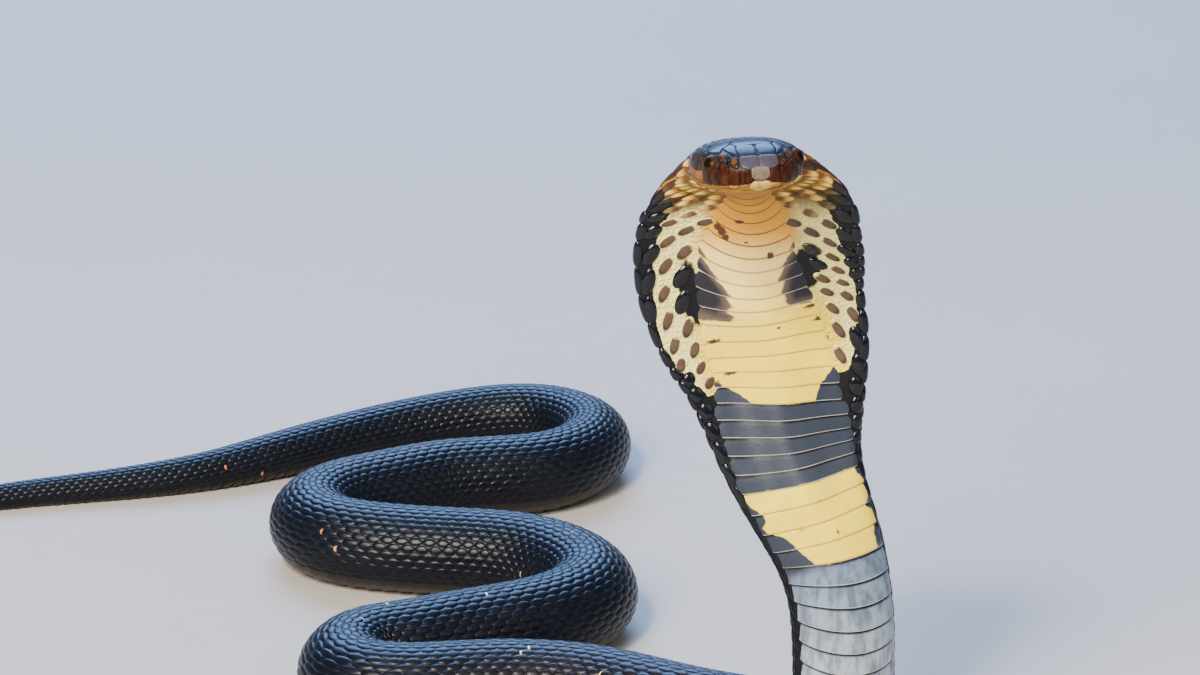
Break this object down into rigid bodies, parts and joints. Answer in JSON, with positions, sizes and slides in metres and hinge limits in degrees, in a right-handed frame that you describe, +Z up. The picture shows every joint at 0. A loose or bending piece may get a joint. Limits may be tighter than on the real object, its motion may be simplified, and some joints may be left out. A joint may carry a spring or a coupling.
{
  "type": "monocled cobra",
  "caption": "Life-size still model of a cobra, neck raised with the hood spread, the rest of the body and the tail lying in bends on the floor.",
  "frame": {"origin": "centre of the bounding box, on the floor that the belly lies on", "axes": "+Z up; the hood's belly side and the head face -Y; the body lies behind it towards +Y and the tail runs out to -X"},
  "size_m": [0.5151, 0.5136, 0.2955],
  "materials": {
    "head_scales": "glossy brown-black head shields with amber edges",
    "hood_scales": "yellow and blue-grey belly scutes between cream and brown hood scales, glossy black rim",
    "body_scales": "glossy blue-black scales",
    "eye": "dark glossy eye"
  },
  "bodies": {
    "root": {"head": "head_scales", "lower_jaw": "head_scales", "eye_left": "eye", "eye_right": "eye", "hood": "hood_scales", "neck": "hood_scales", "body_01": "body_scales", "body_02": "body_scales", "body_03": "body_scales", "body_04": "body_scales", "body_05": "body_scales", "body_06": "body_scales", "body_07": "body_scales", "body_08": "body_scales", "body_09": "body_scales", "tail_root": "body_scales", "tail_tip": "body_scales"}
  },
  "joints": []
}
